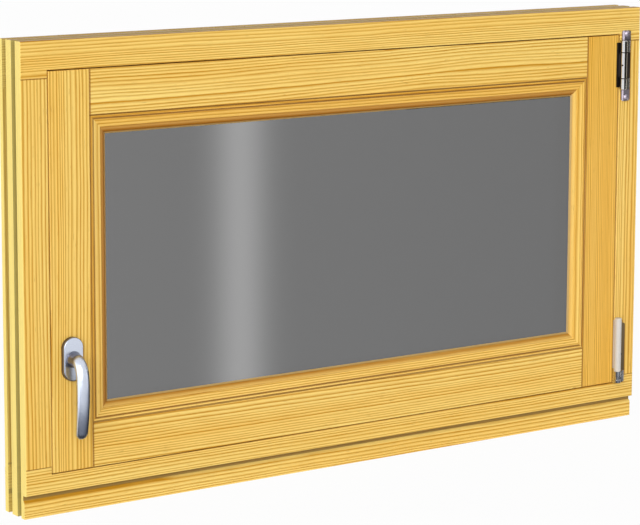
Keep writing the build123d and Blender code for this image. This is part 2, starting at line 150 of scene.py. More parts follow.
def skin(name: str, grid: np.ndarray) -> Object:
    """Make a closed shell of a grid of points.

    Rows run from one end of the piece to the other. Each end is closed to its middle, and points that
    fall together at a pole are merged.

    Args:
        name: the piece's name.
        grid: points of shape (rows, columns, 3).

    Returns:
        The new object, at the origin, with smooth faces that point outward.
    """
    ends = [np.broadcast_to(row.mean(axis=0), row.shape)[None] for row in (grid[0], grid[-1])]
    grid = np.concatenate([ends[0], grid, ends[1]])
    rows, columns = grid.shape[:2]
    row, column = np.meshgrid(np.arange(rows - 1), np.arange(columns), indexing="ij")
    following = (column + 1) % columns
    corners = [
        row * columns + column,
        row * columns + following,
        (row + 1) * columns + following,
        (row + 1) * columns + column,
    ]
    faces = np.stack(corners, axis=-1).reshape(-1, 4)
    mesh = bpy.data.meshes.new(name)
    mesh.from_pydata(grid.reshape(-1, 3).tolist(), [], faces.tolist())
    work = bmesh.new()
    work.from_mesh(mesh)
    bmesh.ops.remove_doubles(work, verts=work.verts, dist=1e-6)
    bmesh.ops.dissolve_degenerate(work, edges=work.edges, dist=1e-7)
    bmesh.ops.recalc_face_normals(work, faces=work.faces)
    work.to_mesh(mesh)
    work.free()
    mesh.shade_smooth()
    mesh.set_sharp_from_angle(angle=SMOOTH_ANGLE)
    piece = bpy.data.objects.new(name, mesh)
    bpy.context.scene.collection.objects.link(piece)
    return piece


def turned(axis: Pair, radii: np.ndarray, heights: np.ndarray, columns: int = 40) -> np.ndarray:
    """Points of a piece turned about an upright axis: one circle for each row.

    Args:
        axis: the axis's X and Y.
        radii: the rows' radii.
        heights: the rows' heights.
        columns: points round the piece.

    Returns:
        The grid.
    """
    angle = np.linspace(0, 2 * math.pi, columns, endpoint=False)
    x = axis[0] + radii[:, None] * np.cos(angle)
    y = axis[1] + radii[:, None] * np.sin(angle)
    return np.stack([x, y, np.broadcast_to(heights[:, None], x.shape)], axis=-1)


# Finishes

@dataclass(frozen=True)
class PaintedLightOrStain:
    """A darker or paler place, painted shade, painted light or a dark joint line: near one distance along
    an axis, on faces that look one way.

    It fades out over the last share of its reach. Its facing is an axis, for faces that look either way
    along it, or an axis with a minus, for faces that look against it.
    """

    axis: str
    centre: float
    reach: float
    facing: str
    colour: str
    strength: float
    fade: float = 0.5

    def spread(self, tree: NodeTree, where: NodeSocket, colour: NodeSocket) -> NodeSocket:
        """Tint a colour: fully near the centre, and not at all past the reach.

        Args:
            tree: the material's node tree.
            where: the Object output of its Texture Coordinate node.
            colour: the colour so far.

        Returns:
            The tinted colour.
        """
        place = add(tree, "ShaderNodeSeparateXYZ", {0: where}, output=self.axis)
        away = add(tree, "ShaderNodeMath", {0: place, 1: self.centre}, operation="SUBTRACT")
        near = add(tree, "ShaderNodeMapRange", {
            "Value": add(tree, "ShaderNodeMath", {0: away}, operation="ABSOLUTE"),
            **ranges((self.reach * (1 - self.fade), self.reach), (self.strength, 0.0)),
        })
        normal = where.node.outputs["Normal"]
        looks = add(tree, "ShaderNodeSeparateXYZ", {0: normal}, output=self.facing[-1])
        if self.facing.startswith("-"):
            looks = add(tree, "ShaderNodeMath", {0: looks, 1: -1.0}, operation="MULTIPLY")
        else:
            looks = add(tree, "ShaderNodeMath", {0: looks}, operation="ABSOLUTE")
        faced = add(tree, "ShaderNodeMapRange", {"Value": looks, **ranges(FACING_RANGE)})
        share = add(tree, "ShaderNodeMath", {0: near, 1: faced}, operation="MULTIPLY")
        return add(tree, "ShaderNodeMix", {0: share, 6: colour, 7: linear(self.colour)}, **COLOUR_MIX)


@dataclass(frozen=True)
class Board:
    """One piece of timber, and the pith line that its growth rings run round.

    Ring is a year's width in metres, slope the fibres' lean in radians, wave how far the rings bend, and
    warmth how much of the wood is heartwood.
    """

    node: str
    grain: Grain
    pith: Triple
    ring: float
    seed: float
    slope: float = 0.0
    wave: float = 0.0030
    warmth: float = 0.0
    light_shade_and_stains: tuple[PaintedLightOrStain, ...] = ()


@dataclass(frozen=True)
class LacqueredPine:
    """Planed Scots pine under satin lacquer: pale honey wood with darker, sharp-edged summer rings."""

    spring: str = "#FFE080"
    heart: str = "#F6BF4E"
    summer: str = "#CA8C00"
    duct: str = "#9A6A10"
    ior: float = 1.4
    # Roughness of spring wood and of a ring's edge, and how high the edge stands.
    roughness: Pair = (0.46, 0.38)
    relief: float = 0.00020
    bump: float = 0.35
    # One year's darkness from its spring side to its sharp autumn edge.
    year: tuple[Pair, ...] = (
        (0.0, 0.30), (0.12, 0.06), (0.32, 0.02), (0.58, 0.40), (0.78, 0.95), (0.90, 1.0), (1.0, 0.30),
    )
    # A year's own strength: the least, and what chance adds.
    year_strength: Pair = (0.68, 0.45)
    # Changes of climate to the year, and the years by which they crowd or spread the rings.
    climate_pace: float = 0.23
    climate_shift: float = 1.8
    # Noises, in cells to the metre along the fibres and across them: rings bend every 80 mm and shiver
    # every 11 mm, warmth drifts every 33 mm, fibres are 1.8 mm wide and duct marks 1.1 mm.
    bend_cells: Triple = (2.2, 12.0, 12.0)
    shiver_cells: Triple = (14.0, 90.0, 90.0)
    drift_cells: Triple = (1.3, 30.0, 30.0)
    fibre_cells: Triple = (20.0, 560.0, 560.0)
    duct_cells: Triple = (55.0, 900.0, 900.0)
    # Metres that a shiver moves a ring, and how much a fibre darkens the wood.
    shiver: float = 0.0012
    fibre: float = 0.50
    # The noise values over which the wood turns warm and a duct mark shows, and how far each goes.
    drift_range: Pair = (0.35, 0.70)
    drift_warmth: float = 0.55
    duct_range: Pair = (0.66, 0.78)
    duct_strength: float = 0.55

    def build(self, board: Board) -> Material:
        """Make one board's material.

        Args:
            board: the board and the place of its pith.

        Returns:
            The material, which reads Object coordinates only.
        """
        material, tree = new_material(f"lacquered_pine_{board.node}")
        where = add(tree, "ShaderNodeTexCoord", output="Object")
        log = self.place_in_log(tree, where, board)
        late = self.draw_rings(tree, log, board)
        wood = self.colour_wood(tree, log, late, board)
        for mark in board.light_shade_and_stains:
            wood = mark.spread(tree, where, wood)
        gloss = add(tree, "ShaderNodeMapRange", {"Value": late, **ranges(target=self.roughness)})
        relief = add(tree, "ShaderNodeBump", {
            "Height": late, "Distance": self.relief, "Strength": self.bump,
        })
        shader = add(tree, "ShaderNodeBsdfPrincipled", {
            "Base Color": wood, "Roughness": gloss, "IOR": self.ior, "Normal": relief,
        })
        add(tree, "ShaderNodeOutputMaterial", {"Surface": shader})
        return material

    def place_in_log(self, tree: NodeTree, where: NodeSocket, board: Board) -> NodeSocket:
        """Turn Object coordinates so that X runs along the fibres and the pith is at Y = Z = 0."""
        turn = Euler((0.0, board.grain.value + board.slope, 0.0)).to_matrix()
        return add(tree, "ShaderNodeMapping", {
            "Vector": where,
            "Location": -(turn @ Vector(board.pith)),
            "Rotation": turn.to_euler(),
        })

    def grain_noise(self, tree: NodeTree, log: NodeSocket, cells: Triple, seed: float) -> NodeSocket:
        """Noise drawn out along the fibres.

        Args:
            tree: the board's node tree.
            log: coordinates in the log.
            cells: cells to the metre along the fibres and in both directions across them.
            seed: a number of the board's own.

        Returns:
            The noise, around one half.
        """
        drawn = add(tree, "ShaderNodeVectorMath", {
            0: log, 1: cells, 2: (seed, seed * 0.7, seed * 1.3),
        }, operation="MULTIPLY_ADD")
        return add(tree, "ShaderNodeTexNoise", {"Vector": drawn, "Scale": 1.0, "Detail": 2.0})

    def draw_rings(self, tree: NodeTree, log: NodeSocket, board: Board) -> NodeSocket:
        """How dark each point's wood is, from 0 in spring wood to 1 at a ring's edge.

        The distance from the pith, bent by a slow noise, is counted in years. A noise along the years
        makes some rings wide and some narrow. The year's fraction looks up the darkness, times a
        strength of the year's own. Fine fibres are added.

        Args:
            tree: the board's node tree.
            log: coordinates in the log.
            board: the board.

        Returns:
            The darkness.
        """
        flat = add(tree, "ShaderNodeVectorMath", {0: log, 1: (0.0, 1.0, 1.0)}, operation="MULTIPLY")
        radius = add(tree, "ShaderNodeVectorMath", {0: flat}, output="Value", operation="LENGTH")
        bend = self.grain_noise(tree, log, self.bend_cells, board.seed)
        bent = add(tree, "ShaderNodeMath", {
            0: bend, 1: board.wave * 2, 2: radius,
        }, operation="MULTIPLY_ADD")
        shiver = self.grain_noise(tree, log, self.shiver_cells, board.seed + 2)
        bent = add(tree, "ShaderNodeMath", {0: shiver, 1: self.shiver, 2: bent}, operation="MULTIPLY_ADD")
        years = add(tree, "ShaderNodeMath", {0: bent, 1: board.ring}, operation="DIVIDE")
        climate = add(tree, "ShaderNodeTexNoise", {
            "W": add(tree, "ShaderNodeMath", {
                0: years, 1: self.climate_pace, 2: board.seed,
            }, operation="MULTIPLY_ADD"),
            "Scale": 1.0, "Detail": 1.0,
        }, noise_dimensions="1D")
        age = add(tree, "ShaderNodeMath", {
            0: climate, 1: self.climate_shift, 2: years,
        }, operation="MULTIPLY_ADD")
        season = add(tree, "ShaderNodeValToRGB", {
            "Fac": add(tree, "ShaderNodeMath", {0: age}, operation="FRACT"),
        })
        self.set_year(season.node.color_ramp)
        own = add(tree, "ShaderNodeTexWhiteNoise", {
            "W": add(tree, "ShaderNodeMath", {0: age}, operation="FLOOR"),
        }, noise_dimensions="1D")
        least, chance = self.year_strength
        strength = add(tree, "ShaderNodeMath", {0: own, 1: chance, 2: least}, operation="MULTIPLY_ADD")
        rings = add(tree, "ShaderNodeMath", {0: season, 1: strength}, operation="MULTIPLY")
        fibre = self.grain_noise(tree, log, self.fibre_cells, board.seed + 3)
        centred = add(tree, "ShaderNodeMath", {0: fibre, 1: 0.5}, operation="SUBTRACT")
        return add(tree, "ShaderNodeMath", {
            0: centred, 1: self.fibre, 2: rings,
        }, operation="MULTIPLY_ADD", use_clamp=True)

    def set_year(self, ramp: ColorRamp) -> None:
        """Give a ramp the year's darkness as grey stops.

        Args:
            ramp: a new ramp, which has fewer stops.
        """
        while len(ramp.elements) < len(self.year):
            ramp.elements.new(1.0)
        for element, (place, value) in zip(ramp.elements, self.year):
            element.position = place
            element.color = (value, value, value, 1.0)

    def colour_wood(self, tree: NodeTree, log: NodeSocket, late: NodeSocket, board: Board) -> NodeSocket:
        """Colour the wood: it drifts from pale to warm, and darkens at the rings and the resin ducts.

        Args:
            tree: the board's node tree.
            log: coordinates in the log.
            late: the darkness of the rings.
            board: the board.

        Returns:
            The colour.
        """
        drift = self.grain_noise(tree, log, self.drift_cells, board.seed + 5)
        warm = add(tree, "ShaderNodeMapRange", {
            "Value": drift,
            **ranges(self.drift_range, (board.warmth, min(1.0, board.warmth + self.drift_warmth))),
        })
        ground = add(tree, "ShaderNodeMix", {
            0: warm, 6: linear(self.spring), 7: linear(self.heart),
        }, **COLOUR_MIX)
        ringed = add(tree, "ShaderNodeMix", {0: late, 6: ground, 7: linear(self.summer)}, **COLOUR_MIX)
        fleck = self.grain_noise(tree, log, self.duct_cells, board.seed + 7)
        ducts = add(tree, "ShaderNodeMapRange", {
            "Value": fleck, **ranges(self.duct_range, (0.0, self.duct_strength)),
        })
        return add(tree, "ShaderNodeMix", {0: ducts, 6: ringed, 7: linear(self.duct)}, **COLOUR_MIX)


@dataclass(frozen=True)
class Speckled:
    """An even finish with a fine speckle in its colour, gloss and height, and with marks of painted shade.
    """

    name: str
    colour: str
    dull: str
    roughness: float
    rougher: float
    # Cells to the metre along X, Y and Z, and the height of the speckle.
    grain: Triple
    relief: float
    bump: float
    metallic: float
    ior: float
    light_shade_and_stains: tuple[PaintedLightOrStain, ...] = ()
    # The noise values between which the gloss changes.
    speck_range: Pair = (0.3, 0.7)

    def build(self) -> Material:
        """Make the material, on Object coordinates.

        Returns:
            The material.
        """
        material, tree = new_material(self.name)
        where = add(tree, "ShaderNodeTexCoord", output="Object")
        drawn = add(tree, "ShaderNodeVectorMath", {0: where, 1: self.grain}, operation="MULTIPLY")
        speck = add(tree, "ShaderNodeTexNoise", {"Vector": drawn, "Scale": 1.0, "Detail": 3.0})
        colour = add(tree, "ShaderNodeMix", {
            0: speck, 6: linear(self.colour), 7: linear(self.dull),
        }, **COLOUR_MIX)
        for mark in self.light_shade_and_stains:
            colour = mark.spread(tree, where, colour)
        gloss = add(tree, "ShaderNodeMapRange", {
            "Value": speck, **ranges(self.speck_range, (self.roughness, self.rougher)),
        })
        relief = add(tree, "ShaderNodeBump", {
            "Height": speck, "Distance": self.relief, "Strength": self.bump,
        })
        shader = add(tree, "ShaderNodeBsdfPrincipled", {
            "Base Color": colour, "Metallic": self.metallic, "Roughness": gloss, "IOR": self.ior,
            "Normal": relief,
        })
        add(tree, "ShaderNodeOutputMaterial", {"Surface": shader})
        return material


@dataclass(frozen=True)
class Metal(Speckled):
    """Cast, plated or anodised metal. Its grain is 1.1 mm wide, the finest that shows from afar."""

    grain: Triple = (900.0, 900.0, 900.0)
    relief: float = 0.000004
    bump: float = 0.5
    metallic: float = 1.0
    ior: float = 1.5


@dataclass(frozen=True)
class Rubber(Speckled):
    """Extruded rubber, moulded nylon or cured sealant: a dull skin, uneven every 4 mm."""

    grain: Triple = (260.0, 260.0, 260.0)
    relief: float = 0.0001
    bump: float = 0.4
    metallic: float = 0.0
    ior: float = 1.52


@dataclass(frozen=True)
class GreyGlass:
    """Grey solar control glass: body-tinted, smooth, and brighter in reflection than plain float."""

    name: str = "grey_solar_control_glass"
    tint: str = "#5A5A5A"
    denser: str = "#585859"
    # Plain float glass has 1.52. The oxide coat reflects a sixth of the light, as if it were this dense.
    ior: float = 2.4
    # Cells to the metre, as the tint drifts every half metre.
    melt: float = 2.0

    def build(self) -> Material:
        """Make the glass.

        Returns:
            The material.
        """
        material, tree = new_material(self.name)
        where = add(tree, "ShaderNodeTexCoord", output="Object")
        melt = add(tree, "ShaderNodeTexNoise", {"Vector": where, "Scale": self.melt, "Detail": 0.0})
        tint = add(tree, "ShaderNodeMix", {
            0: melt, 6: linear(self.tint), 7: linear(self.denser),
        }, **COLOUR_MIX)
        shader = add(tree, "ShaderNodeBsdfPrincipled", {
            "Base Color": tint, "Transmission Weight": 1.0, "Roughness": 0.0, "IOR": self.ior,
        })
        add(tree, "ShaderNodeOutputMaterial", {"Surface": shader})
        return material


def dress(nodes: Nodes, names: list[str], material: Material) -> None:
    """Give CAD nodes a material in every slot they have.

    Args:
        nodes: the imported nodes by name.
        names: the nodes to dress.
        material: the material.
    """
    for name in names:
        node = nodes[name]
        if not node.material_slots:
            node.data.materials.append(material)
        for place in node.material_slots:
            place.material = material
        LOG.info("dressed %s in %s", name, material.name)


def settle(
    piece: Object, material: Material, body: Body, replaces: tuple[str, ...] = (),
) -> None:
    """Finish a new piece: its material, its body and the nodes it stands for.

    Args:
        piece: the new object.
        material: its finish.
        body: the body it rides on.
        replaces: the CAD nodes it stands for.
    """
    piece.data.materials.append(material)
    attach(piece, body.value)
    if replaces:
        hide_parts(*replaces)
    LOG.info("built %s, %d faces, on %s", piece.name, len(piece.data.polygons), body.value)


# The window

# Where the boards meet: the jambs' ends, and the left and right, lower and upper edges inside the sash.
JAMB_ENDS = (0.063, 0.5535)
SASH_INNER_X = 0.4035
SASH_LOWER_Z = 0.113
SASH_UPPER_Z = 0.5035
# Lacquer that gathers in a joint draws a thin brown line on the faces that look into the room.
JOINT = "#8A5508"
JOINT_REACH = 0.0016
JAMB_JOINTS = tuple(PaintedLightOrStain("Z", z, JOINT_REACH, "-Y", JOINT, 0.85) for z in JAMB_ENDS)
STILE_JOINTS = tuple(PaintedLightOrStain("X", side * SASH_INNER_X, JOINT_REACH, "-Y", JOINT, 0.85) for side in (-1, 1))
RAIL_JOINTS = STILE_JOINTS + tuple(
    PaintedLightOrStain("Z", z, JOINT_REACH, "-Y", JOINT, 0.85) for z in (SASH_LOWER_Z, SASH_UPPER_Z)
)
# The outer sides get painted light and shade: their lands are painted paler and greener, a painted sheen
# of the light from the left, and their grooves and the grooves' walls get painted shade. In this and in
# every list of marks, a later mark covers the earlier ones.
PAINTED_GROOVE_SHADE = "#B0A35F"
PAINTED_LAND_SHEEN = "#FFE67E"
PAINTED_SIDE_LIGHT_AND_SHADE = (
    PaintedLightOrStain("Y", 0.0025, 0.0240, "Y", PAINTED_GROOVE_SHADE, 0.92),
    *(
        PaintedLightOrStain("X", side * x, reach, "X", colour, strength)
        for side in (-1, 1)
        for x, reach, colour, strength in ((0.4920, 0.0100, PAINTED_GROOVE_SHADE, 0.92), (0.5, 0.0010, PAINTED_LAND_SHEEN, 0.80))
    ),
)
# The head's upper side gets painted shade: it is painted darker, as little light falls on it from above.
HEAD_TOP_SHADE = (PaintedLightOrStain("Z", 0.5960, 0.0140, "Z", "#A06C00", 0.92),)
# The groove for the window board gets painted shadow, brown on its faces that look into the room and
# upward, where the rail's overhang shades it.
BOARD_GROOVE_SHADOW = tuple(PaintedLightOrStain("Z", 0.0272, 0.0037, way, "#8A682F", 0.88, fade=0.25) for way in ("-Y", "Z"))
# The gap at the sash's right edge, seen end on, shows its shade as a brown line.
HINGE_EDGE = (PaintedLightOrStain("X", 0.4618, 0.0024, "-Y", JOINT, 0.80),)


def bead_shade_and_joints(axis: str, side: int, shade: float, outer: float, quirk: float) -> tuple[PaintedLightOrStain, ...]:
    """Marks of one bead: painted shade in its hollow, a dark line at its joint, and a painted shade line
    in its quirk.

    Args:
        axis: the axis across the bead.
        side: minus one for the left bead, or else one.
        shade: how dark the painted shade in the hollow is, more on the beads that face away from the
            light.
        outer: the joint with the sash, along the axis.
        quirk: the quirk between the fillet and the slope.

    Returns:
        The marks.
    """
    # Painted shade in the hollow; a dark joint line, and a painted shade line in the quirk.
    hollow = tuple(PaintedLightOrStain("Y", -0.0200, 0.0050, way, "#AA6C14", shade, fade=0.3) for way in "XYZ")
    places = (side * outer, side * quirk)
    lines = tuple(PaintedLightOrStain(axis, place, JOINT_REACH, "-Y", JOINT, 0.80) for place in places)
    return hollow + lines


@dataclass(frozen=True)
class Timber:
    """The frame, the sash and the beads, each board cut from its own place in the log."""

    pine: LacqueredPine = LacqueredPine()
    boards: tuple[Board, ...] = (
        Board("frame_head", Grain.ALONG, (0.0, 0.050, 0.670), 0.0029, 3.0, slope=0.006,
              light_shade_and_stains=PAINTED_SIDE_LIGHT_AND_SHADE + HEAD_TOP_SHADE),
        Board("frame_bottom_rail", Grain.ALONG, (0.0, 0.045, -0.060), 0.0031, 8.0, slope=-0.004,
              light_shade_and_stains=BOARD_GROOVE_SHADOW + PAINTED_SIDE_LIGHT_AND_SHADE),
        Board("frame_jamb_left", Grain.UPRIGHT, (-0.570, 0.030, 0.0), 0.0041, 14.0, slope=0.004,
              warmth=0.10, light_shade_and_stains=JAMB_JOINTS + PAINTED_SIDE_LIGHT_AND_SHADE),
        Board("frame_jamb_right", Grain.UPRIGHT, (0.570, 0.040, 0.0), 0.0038, 21.0, slope=-0.003,
              warmth=0.15, light_shade_and_stains=JAMB_JOINTS + PAINTED_SIDE_LIGHT_AND_SHADE),
        Board("sash_stile_left", Grain.UPRIGHT, (-0.345, 0.030, 0.0), 0.0040, 27.0, slope=-0.005,
              warmth=0.05, light_shade_and_stains=STILE_JOINTS),
        Board("sash_stile_right", Grain.UPRIGHT, (0.330, 0.012, 0.0), 0.0026, 33.0, slope=0.003,
              warmth=0.70, light_shade_and_stains=STILE_JOINTS + HINGE_EDGE),
        Board("sash_rail_top", Grain.ALONG, (0.0, 0.062, 0.450), 0.0033, 41.0, slope=0.010, wave=0.0060,
              light_shade_and_stains=RAIL_JOINTS),
        Board("sash_rail_bottom", Grain.ALONG, (0.0, 0.040, 0.170), 0.0032, 48.0, slope=-0.006,
              light_shade_and_stains=RAIL_JOINTS),
        Board("bead_top", Grain.ALONG, (0.0, 0.030, 0.580), 0.0034, 55.0, warmth=0.6,
              light_shade_and_stains=bead_shade_and_joints("Z", 1, 0.75, SASH_UPPER_Z, 0.4989)),
        Board("bead_bottom", Grain.ALONG, (0.0, 0.030, 0.040), 0.0034, 61.0, warmth=0.4,
              light_shade_and_stains=bead_shade_and_joints("Z", 1, 0.45, SASH_LOWER_Z, 0.1176)),
        Board("bead_left", Grain.UPRIGHT, (-0.550, 0.000, 0.0), 0.0060, 67.0, warmth=0.2,
              light_shade_and_stains=bead_shade_and_joints("X", -1, 0.80, SASH_INNER_X, 0.3989)),
        Board("bead_right", Grain.UPRIGHT, (0.550, 0.000, 0.0), 0.0060, 73.0, warmth=0.0,
              light_shade_and_stains=bead_shade_and_joints("X", 1, 0.10, SASH_INNER_X, 0.4022)),
    )

    def finish(self, nodes: Nodes) -> None:
        """Dress every board.

        Args:
            nodes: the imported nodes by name.
        """
        for board in self.boards:
            dress(nodes, [board.node], self.pine.build(board))


@dataclass(frozen=True)
class GlassUnit:
    """The two panes, the spacer between them, and the seals and gaskets round them."""

    sides: tuple[str, ...] = ("left", "right", "bottom", "top")

    def finish(self, nodes: Nodes) -> None:
        """Dress the unit.

        Args:
            nodes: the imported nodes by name.
        """
        dress(nodes, ["glass_inner", "glass_outer"], GreyGlass().build())
        # Moulded warm-edge spacer, pale grey and matt.
        spacer = Rubber("pale_grey_spacer", "#CFCBC4", "#C4C0BA", 0.6, 0.6).build()
        dress(nodes, [f"spacer_{side}" for side in self.sides], spacer)
        # Tan acrylic glazing sealant, tooled smooth: a pale matt line beside the glass.
        sealant = Rubber("tan_glazing_sealant", "#BC9650", "#C6A25E", 0.55, 0.55).build()
        seals = [f"{face}_seal_{side}" for face in ("inner", "outer") for side in self.sides]
        dress(nodes, seals, sealant)
        # Extruded EPDM, tan and matt.
        gasket = Rubber("tan_epdm", "#B98A3C", "#C49648", 0.6, 0.6).build()
        dress(nodes, [f"sash_gasket_{side}" for side in self.sides], gasket)


@dataclass(frozen=True)
class Handle:
    """The lever handle: an oval rosette and a bowed lever that points down when the window is shut."""

    axis: Pair = (-0.434, 0.199)
    rosette_half_length: float = 0.028
    rosette_half_width: float = 0.014
    rosette_thickness: float = 0.007
    rosette_edge: float = 0.0016
    rosette_base: float = 0.0040
    rosette_columns: int = 96
    # Where the rosette's hidden back faces start, as a share of its half width.
    rosette_inner: float = 0.4
    neck_radius: float = 0.0105
    neck_seat: float = 0.003
    tip_length: float = 0.0078
    # Stations of the lever: millimetres out from the sash, millimetres below the axis, degrees that the
    # path leans out from straight down, and the section's width and thickness in millimetres.
    stations: tuple[tuple[float, float, float, float, float], ...] = (
        (4.0, 0.0, 90.0, 21.0, 21.0), (7.2, 0.0, 90.0, 21.0, 21.0), (9.0, 0.1, 89.0, 20.0, 20.4),
        (12.0, 0.3, 88.0, 18.4, 18.6), (18.0, 1.5, 72.0, 17.0, 17.0), (24.0, 6.0, 42.0, 16.6, 15.0),
        (28.0, 14.0, 20.0, 17.0, 13.4), (29.8, 28.0, 6.0, 17.5, 12.2), (29.9, 45.0, -3.0, 17.5, 11.5),
        (28.8, 64.0, -7.0, 17.1, 11.5), (26.6, 82.0, -9.5, 16.7, 11.1), (25.2, 91.2, -10.6, 16.1, 10.8),
    )

    def slot_grid(self, radius: np.ndarray, height: np.ndarray, reach: np.ndarray) -> np.ndarray:
        """Points of a slot-shaped piece on the sash.

        Every column is a direction round the piece. A row's point lies along it, at the row's radius
        from the slot's nearer end centre, and at the row's height off the sash. Where a row's reach is
        nought, both end centres fall together and the row is a circle.

        Args:
            radius: the rows' end radii.
            height: the rows' heights off the sash.
            reach: the rows' distances from the middle to an end centre.

        Returns:
            The grid.
        """
        columns = self.rosette_columns
        angle = np.linspace(0, 2 * math.pi, columns, endpoint=False) + math.pi / columns
        x = self.axis[0] + radius[:, None] * np.cos(angle)
        z = self.axis[1] + radius[:, None] * np.sin(angle) + np.sign(np.sin(angle)) * reach[:, None]
        y = np.broadcast_to(ROOM_FACE - height[:, None], x.shape)
        return np.stack([x, y, z], axis=-1)

    def base_grid(self) -> np.ndarray:
        """Points of the rosette's base plate, which stands a hair inside the cover's outline.

        Returns:
            The grid.
        """
        outer = self.rosette_half_width - HAIR
        radius = outer * np.array([self.rosette_inner, 1.0, 1.0, self.rosette_inner])
        height = np.array([0.0, 0.0, self.rosette_base, self.rosette_base])
        reach = np.full(radius.shape, self.rosette_half_length - self.rosette_half_width)
        return self.slot_grid(radius, height, reach)

    def cover_grid(self) -> np.ndarray:
        """Points of the rosette's cover: a quarter round at its front edge, and a sunk seat for the neck.

        Returns:
            The grid.
        """
        edge = self.rosette_edge
        turn = np.linspace(0, math.pi / 2, 7)
        outer = self.rosette_half_width
        back = self.rosette_base
        front = self.rosette_thickness
        seat = self.neck_radius + HAIR
        floor = front - self.neck_seat + 2 * HAIR
        radius = np.concatenate([
            [outer * self.rosette_inner, outer - 2 * HAIR, outer], outer - edge + edge * np.cos(turn),
            [seat, seat, seat / 2],
        ])
        height = np.concatenate([
            [back, back, back + 2 * HAIR], front - edge + edge * np.sin(turn), [front, floor, floor],
        ])
        reach = np.full(radius.shape, self.rosette_half_length - outer)
        reach[-3:] = 0
        return self.slot_grid(radius, height, reach)

    def lever_grid(self, rows: int = 110, columns: int = 56) -> np.ndarray:
        """Points of the lever: an oval section carried along a smooth path through the stations.

        The path, its lean and the section's two sizes are cubic splines through the stations, run by the
        path's length. The tip draws in as a quarter of an ellipse.

        Args:
            rows: points along the path.
            columns: points round the section.

        Returns:
            The grid, from the neck's foot to the tip.
        """
        table = np.array(self.stations) * (MILLIMETRE, MILLIMETRE, math.pi / 180, MILLIMETRE, MILLIMETRE)
        run = np.concatenate([[0], np.cumsum(np.hypot(*np.diff(table[:, :2], axis=0).T))])
        place = np.linspace(0, run[-1], rows)
        out, drop, lean, width, thick = (self.spline(run, values, place) for values in table.T)
        angle = np.linspace(0, 2 * math.pi, columns, endpoint=False)
        across = np.cos(angle) * width[:, None] / 2
        deep = np.sin(angle) * thick[:, None] / 2
        body = self.place_sections(out, drop, lean, across, deep)
        turn = np.linspace(0, math.pi / 2, 11)[1:-1]
        tip = self.tip_length * np.sin(turn)
        shrink = np.cos(turn)[:, None]
        ends = self.place_sections(
            out[-1] + np.sin(lean[-1]) * tip, drop[-1] + np.cos(lean[-1]) * tip,
            np.full(turn.shape, lean[-1]), across[-1] * shrink, deep[-1] * shrink,
        )
        return np.concatenate([body, ends])

    def place_sections(
        self, out: np.ndarray, drop: np.ndarray, lean: np.ndarray, across: np.ndarray, deep: np.ndarray,
    ) -> np.ndarray:
        """Stand sections across a path in the upright plane through the handle's axis.

        Args:
            out: the path's distances from the sash.
            drop: its drops below the axis.
            lean: the angle of its run, from straight down towards the room.
            across: the section points' places along X, one row for each path point.
            deep: their places square to the path.

        Returns:
            The grid.
        """
        away = out[:, None] + deep * np.cos(lean)[:, None]
        down = drop[:, None] - deep * np.sin(lean)[:, None]
        return np.stack([self.axis[0] + across, ROOM_FACE - away, self.axis[1] - down], axis=-1)

    def spline(self, knots: np.ndarray, values: np.ndarray, at: np.ndarray) -> np.ndarray:
        """Cubic Hermite curve through values, with slopes from the neighbours on both sides.

        Args:
            knots: the places of the values.
            values: the values.
            at: the places to work out.

        Returns:
            The curve's values there.
        """
        slope = np.gradient(values, knots)
        span = np.clip(np.searchsorted(knots, at, side="right") - 1, 0, len(knots) - 2)
        width = knots[span + 1] - knots[span]
        t = (at - knots[span]) / width
        low, high = values[span], values[span + 1]
        return (
            (2 * t ** 3 - 3 * t ** 2 + 1) * low + (t ** 3 - 2 * t ** 2 + t) * width * slope[span]
            + (3 * t ** 2 - 2 * t ** 3) * high + (t ** 3 - t ** 2) * width * slope[span + 1]
        )

    def finish(self, nodes: Nodes) -> None:
        """Build the rosette's base and cover and the lever, and dress the spindle.

        Args:
            nodes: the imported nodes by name.
        """
        # Satin anodised aluminium, blasted to a grain of 0.4 mm: an even, cool, pale sheen, with painted
        # shade round the neck, where the metal lies in shade and mirrors the wood.
        neck = tuple(PaintedLightOrStain("Y", -0.0400, 0.0105, way, "#6A6872", 0.85, fade=0.4) for way in "XZ")
        satin = Metal(
            "satin_anodised_aluminium", "#D6DCEA", "#CBD2E1", 0.25, 0.29,
            grain=(2500.0, 2500.0, 2500.0), relief=0.000001, light_shade_and_stains=neck,
        ).build()
        # Moulded nylon under the metal cover, a dark brown line round the rosette; its darkness also
        # stands in for the shade round the rosette's edge.
        nylon = Rubber("dark_brown_nylon", "#45372C", "#4E3F33", 0.5, 0.5).build()
        settle(skin("rosette_base", self.base_grid()), nylon, Body.WINDOW)
        settle(skin("rosette", self.cover_grid()), satin, Body.WINDOW, ("handle_rosette",))
        lever = skin("lever", self.lever_grid())
        settle(lever, satin, Body.HANDLE, ("handle_lever",))
        # Zinc-plated steel bar, drawn square.
        dress(nodes, ["handle_spindle"], Metal("plated_steel", "#B4B6B8", "#9FA1A4", 0.3, 0.42).build())


